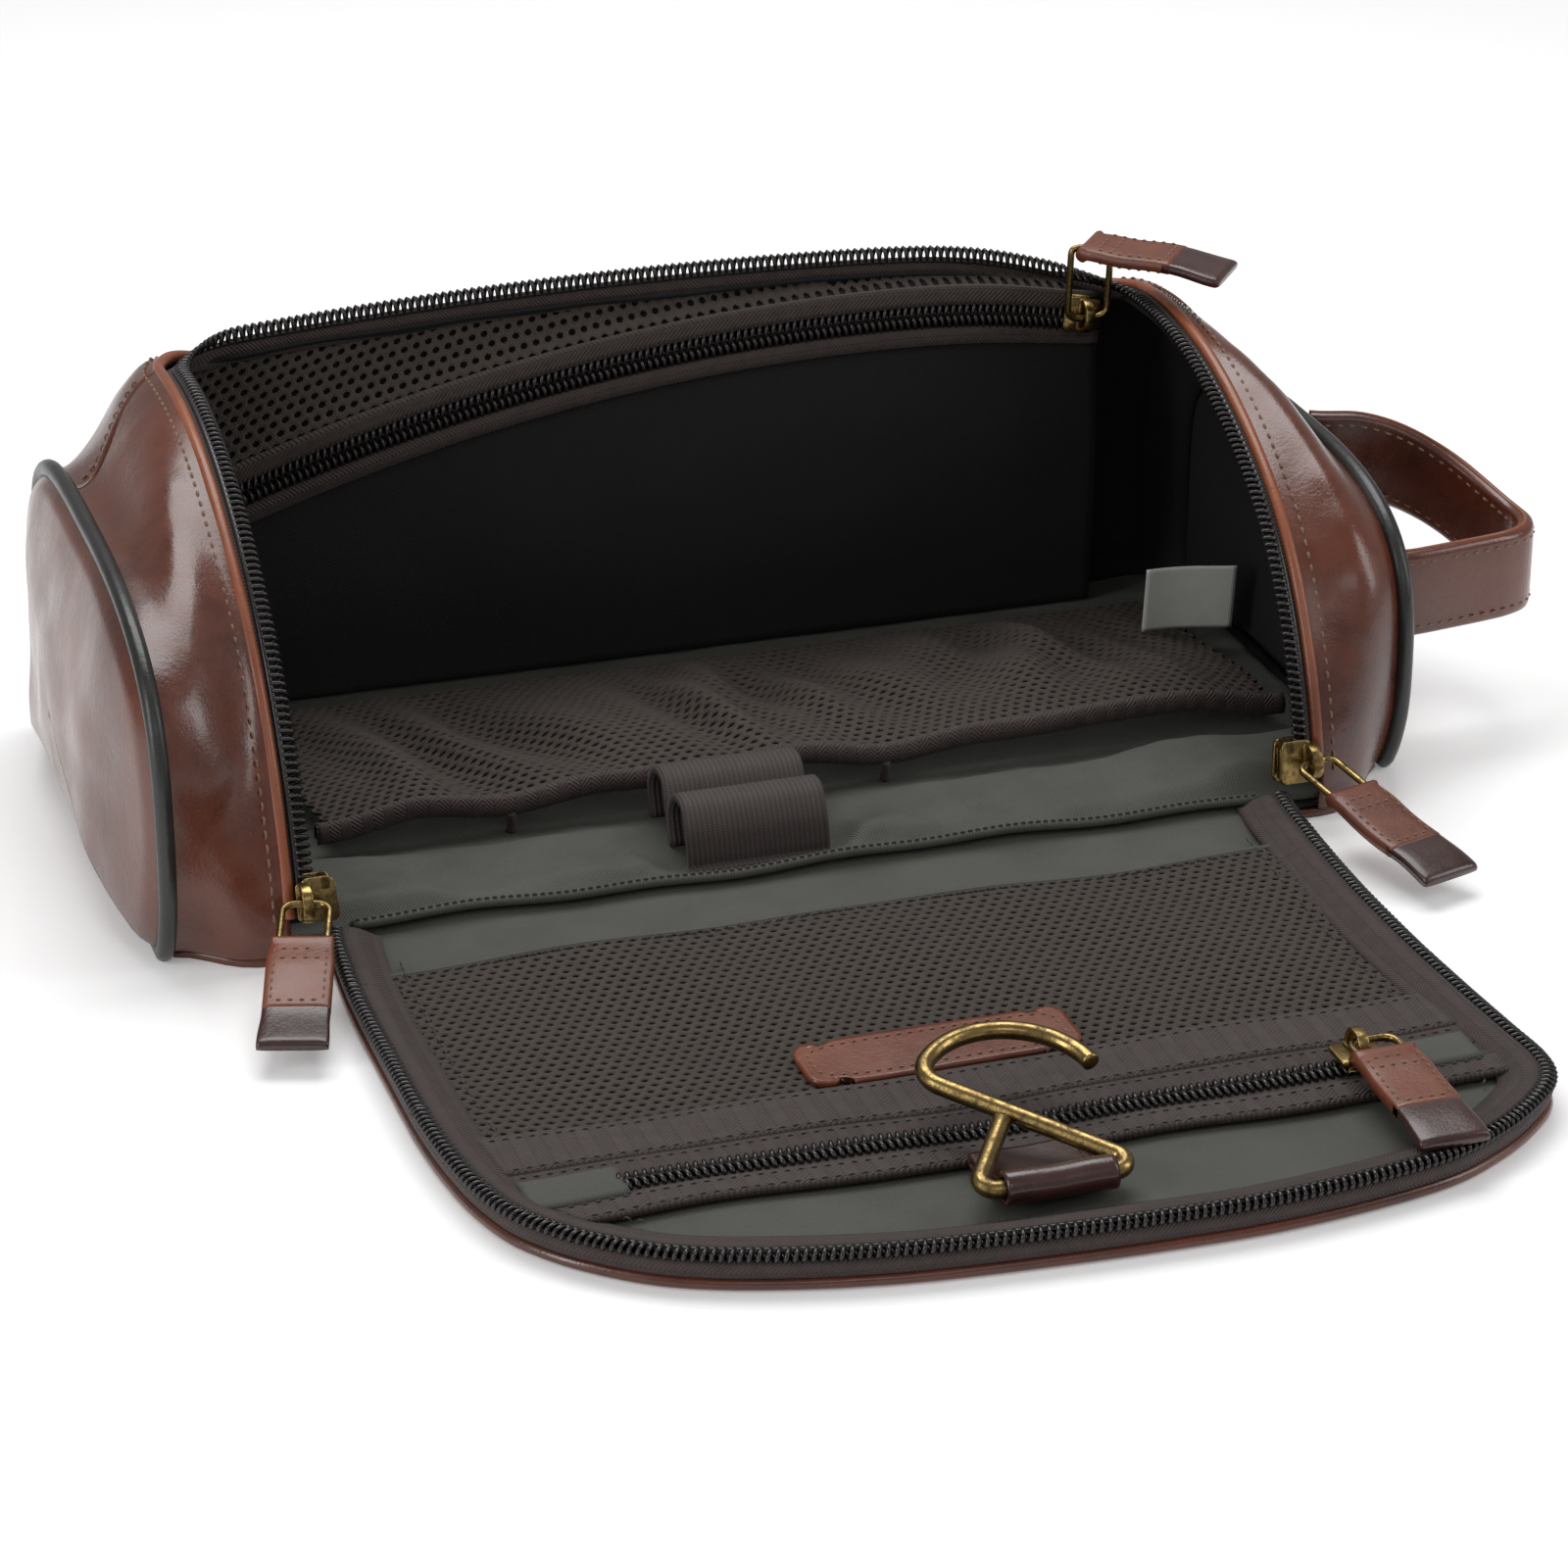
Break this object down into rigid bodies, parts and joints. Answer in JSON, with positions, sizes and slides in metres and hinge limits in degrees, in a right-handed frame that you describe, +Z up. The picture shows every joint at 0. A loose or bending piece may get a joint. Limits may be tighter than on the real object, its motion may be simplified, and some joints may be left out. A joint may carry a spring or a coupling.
{
  "type": "hanging wash bag",
  "caption": "Leather wash bag with a zip-around flap lying open, lined pockets, elastic loops, side handle and a hook to hang it by.",
  "frame": {"origin": "middle of the base panel's underside, on the table", "axes": "+X along the bag towards the handle, +Y from the open flap to the back wall, +Z up"},
  "size_m": [0.3286, 0.3, 0.0973],
  "materials": {
    "leather": "glazed chestnut calf, slightly burnished",
    "pull_leather": "two layers stitched together, dark cut edge",
    "dark_leather": "glazed dark brown",
    "piping": "satin dark piping",
    "twill": "grey-green nylon twill with a soft sheen",
    "brown_mesh": "open knitted mesh",
    "zip_tape": "herringbone woven tape",
    "webbing": "ribbed webbing",
    "zip_coil": "nylon coil with bright highlights",
    "antique_brass": "antiqued, darker in the recesses",
    "label": "satin ribbon, blank"
  },
  "bodies": {
    "root": {"base_panel": "leather", "back_panel": "leather", "side_band_left": "leather", "side_band_right": "leather", "end_panel_left": "leather", "end_panel_right": "leather", "piping_left": "piping", "piping_right": "piping", "hinge_binding": "twill", "lining_floor": "twill", "lining_back": "twill", "lining_left": "twill", "lining_right": "twill", "body_zip_tape": "zip_tape", "body_zip_coil": "zip_coil", "floor_pocket_mesh": "brown_mesh", "floor_pocket_binding": "zip_tape", "elastic_loops": "webbing", "back_pocket_panel": "zip_tape", "back_pocket_webbing": "webbing", "back_pocket_mesh": "brown_mesh", "back_pocket_coil": "zip_coil", "care_label": "label", "handle_strap": "leather"},
    "flap_lower": {"flap_panel_lower": "leather", "flap_lining_lower": "twill", "flap_mesh_lower": "brown_mesh", "flap_tape_lower": "zip_tape", "flap_coil_lower": "zip_coil"},
    "flap_middle": {"flap_panel_middle": "leather", "flap_lining_middle": "twill", "flap_mesh_middle": "brown_mesh", "flap_tape_middle": "zip_tape", "flap_coil_middle": "zip_coil", "flap_webbing_upper": "webbing", "leather_patch": "leather"},
    "flap_front": {"flap_panel_front": "leather", "flap_lining_front": "twill", "flap_tape_front": "zip_tape", "flap_coil_front": "zip_coil", "flap_webbing_lower": "webbing", "flap_pocket_tape": "zip_tape", "flap_pocket_coil": "zip_coil", "hook_loop": "dark_leather"},
    "left_slider": {"left_zip_slider": "antique_brass"},
    "left_pull": {"left_zip_ring": "antique_brass", "left_zip_pull": "pull_leather"},
    "right_slider": {"right_zip_slider": "antique_brass"},
    "right_pull": {"right_zip_ring": "antique_brass", "right_zip_pull": "pull_leather"},
    "back_slider": {"back_zip_slider": "antique_brass", "back_zip_ring": "antique_brass"},
    "back_pull": {"back_zip_pull": "pull_leather"},
    "flap_slider": {"flap_zip_slider": "antique_brass"},
    "flap_pull": {"flap_zip_ring": "antique_brass", "flap_zip_pull": "pull_leather"},
    "hook": {"hanging_hook": "antique_brass"}
  },
  "joints": [
    {"name": "flap_hinge", "type": "hinge", "parent": "root", "child": "flap_lower", "pos_m": [0, -0.065, 0.007], "axis": [-1, 0, 0], "range_deg": [0, 114.75]},
    {"name": "flap_middle_fold", "type": "hinge", "parent": "flap_lower", "child": "flap_middle", "pos_m": [0, -0.11929, 0.007], "axis": [-1, 0, 0], "range_deg": [0, 31.5]},
    {"name": "flap_front_fold", "type": "hinge", "parent": "flap_middle", "child": "flap_front", "pos_m": [0, -0.17358, 0.007], "axis": [-1, 0, 0], "range_deg": [0, 31.5]},
    {"name": "left_slider_travel", "type": "hinge", "parent": "root", "child": "left_slider", "pos_m": [0, 0.03377, -0.00864], "axis": [-1, 0, 0], "range_deg": [0, 59]},
    {"name": "left_pull_swing", "type": "hinge", "parent": "left_slider", "child": "left_pull", "pos_m": [-0.11025, -0.06825, 0.01491], "axis": [0.9563, -0.2924, 0], "range_deg": [-95, 0]},
    {"name": "right_slider_travel", "type": "hinge", "parent": "root", "child": "right_slider", "pos_m": [0, 0.03377, -0.00864], "axis": [-1, 0, 0], "range_deg": [0, 59]},
    {"name": "right_pull_swing", "type": "hinge", "parent": "right_slider", "child": "right_pull", "pos_m": [0.11025, -0.06825, 0.01491], "axis": [0.9563, 0.2924, 0], "range_deg": [-95, 0]},
    {"name": "back_slider_travel", "type": "hinge", "parent": "root", "child": "back_slider", "pos_m": [0.05, 0, -0.3695], "axis": [0, 1, 0], "range_deg": [-24.9, 0]},
    {"name": "back_pull_swing", "type": "hinge", "parent": "back_slider", "child": "back_pull", "pos_m": [0.101, 0.04527, 0.09513], "axis": [1, 0, 0], "range_deg": [-50, 0]},
    {"name": "flap_slider_travel", "type": "slide", "parent": "flap_front", "child": "flap_slider", "axis": [1, 0, 0], "range_m": [-0.042, 0]},
    {"name": "flap_pull_swing", "type": "hinge", "parent": "flap_slider", "child": "flap_pull", "pos_m": [0.073, -0.1815, 0.0113], "axis": [1, 0, 0], "range_deg": [-150, 0]},
    {"name": "hook_swing", "type": "hinge", "parent": "flap_front", "child": "hook", "pos_m": [-0.0024, -0.212, 0.01], "axis": [-1, 0, 0], "range_deg": [-130, 4]}
  ],
  "couplings": [
    {"joint": "flap_middle_fold", "follows": "flap_hinge", "ratio": 0.2745},
    {"joint": "flap_front_fold", "follows": "flap_hinge", "ratio": 0.2745}
  ]
}
